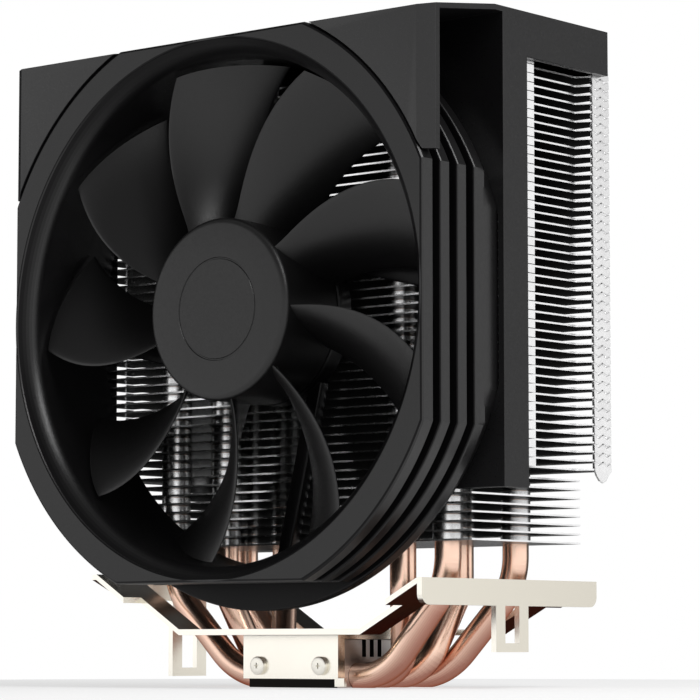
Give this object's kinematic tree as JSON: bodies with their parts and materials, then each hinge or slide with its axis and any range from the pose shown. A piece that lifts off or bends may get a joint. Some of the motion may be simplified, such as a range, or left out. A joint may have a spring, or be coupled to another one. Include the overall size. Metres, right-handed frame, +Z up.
{
  "type": "cpu tower cooler",
  "caption": "Single-tower processor cooler: finned stack on U-shaped copper heat pipes, direct-contact base with clip, and a ribbed round-framed fan under a black cover.",
  "frame": {"origin": "centre of the base's contact face, which lies on Z = 0", "axes": "+Z up along the tower, +X to the right seen from the fan, fan intake facing -Y"},
  "size_m": [0.127, 0.0794, 0.1495],
  "materials": {
    "frame_plastic": "fine moulded matte, near-black grey",
    "rotor_plastic": "matte black",
    "cover_plastic": "fine moulded matte, near-black grey",
    "brass_tube": "turned",
    "bearing_bronze": "porous sintered",
    "white_plastic": "natural nylon",
    "lamination_steel": "stacked sheet",
    "copper_wire": "enamelled winding",
    "board_green": "solder mask",
    "chip_black": "moulded package",
    "fin_aluminium": "bright rolled sheet",
    "pipe_copper": "satin drawn copper",
    "wick_copper": "sintered powder",
    "block_aluminium": "milled",
    "nickel_sheet": "satin nickel plate, slightly warm",
    "screw_steel": "zinc plated",
    "yoke_steel": "pressed steel",
    "magnet_ferrite": "bonded ferrite"
  },
  "bodies": {
    "cooler": {"fan_frame": "frame_plastic", "bearing_tube": "brass_tube", "bearing_sleeve": "bearing_bronze", "thrust_pad": "white_plastic", "stator_core": "lamination_steel", "stator_insulators": "white_plastic", "stator_coils": "copper_wire", "winding_pins": "brass_tube", "motor_board": "board_green", "board_components": "chip_black", "shroud": "cover_plastic", "lower_fins": "fin_aluminium", "upper_fins": "fin_aluminium", "heat_pipe_outer_front": "pipe_copper", "heat_pipe_outer_rear": "pipe_copper", "heat_pipe_inner_front": "pipe_copper", "heat_pipe_inner_rear": "pipe_copper", "wick_outer_front": "wick_copper", "wick_outer_rear": "wick_copper", "wick_inner_front": "wick_copper", "wick_inner_rear": "wick_copper", "base_block": "block_aluminium", "base_saddle": "nickel_sheet", "saddle_screws": "screw_steel", "mounting_clip": "nickel_sheet", "clip_rivets": "screw_steel"},
    "rotor": {"rotor_shell": "rotor_plastic", "rotor_yoke": "yoke_steel", "rotor_magnet": "magnet_ferrite", "rotor_shaft": "screw_steel", "retaining_ring": "white_plastic"}
  },
  "joints": [
    {"name": "rotor_spin", "type": "hinge", "parent": "cooler", "child": "rotor", "pos_m": [0, -0.035, 0.085], "axis": [0, -1, 0], "continuous": true}
  ]
}
